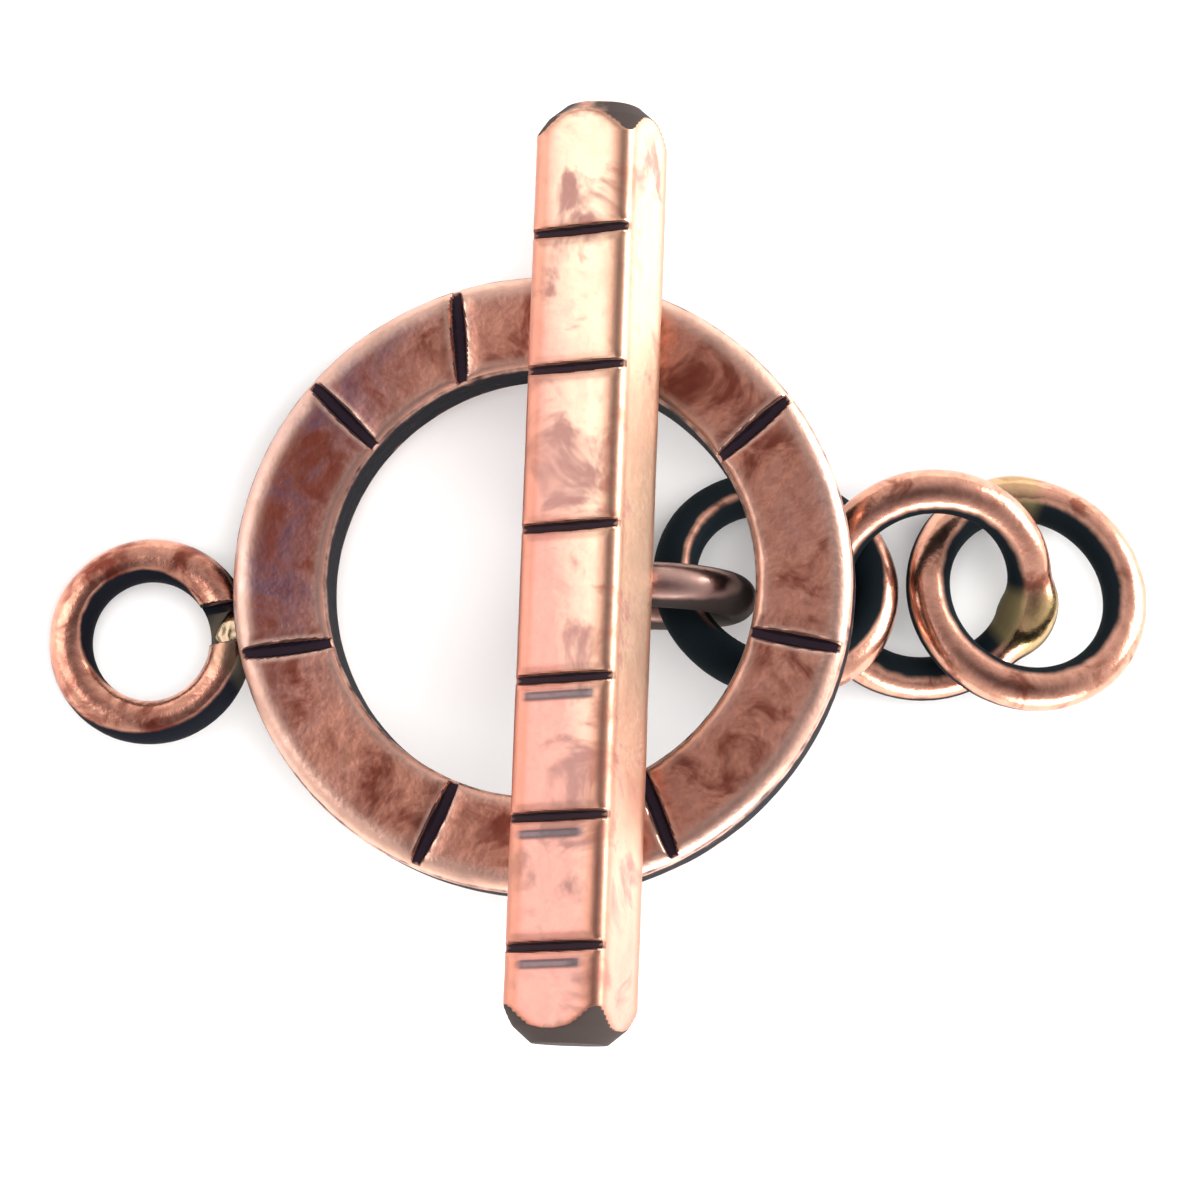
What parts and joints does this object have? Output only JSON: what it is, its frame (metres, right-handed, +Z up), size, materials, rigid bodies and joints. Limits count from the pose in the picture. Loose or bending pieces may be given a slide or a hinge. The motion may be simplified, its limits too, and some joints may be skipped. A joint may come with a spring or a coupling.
{
  "type": "toggle clasp",
  "caption": "Fastened toggle clasp: grooved square bar lying across a grooved ring with an end loop, its eye holding linked jump rings.",
  "frame": {"origin": "centre of the clasp's outline on the surface it lies on", "axes": "+X from the end loop towards the end jump ring, +Y along the bar towards the top of the picture, +Z up from the surface"},
  "size_m": [0.0288, 0.0234, 0.01],
  "materials": {
    "ring_copper": "antiqued copper, worn and tumbled",
    "bar_copper": "antiqued copper, buffed",
    "link_copper": "antiqued copper wire"
  },
  "bodies": {
    "root": {"toggle_ring": "ring_copper", "toggle_bar": "bar_copper", "bar_jump_ring": "link_copper", "middle_jump_ring": "link_copper", "end_jump_ring": "link_copper"}
  },
  "joints": []
}
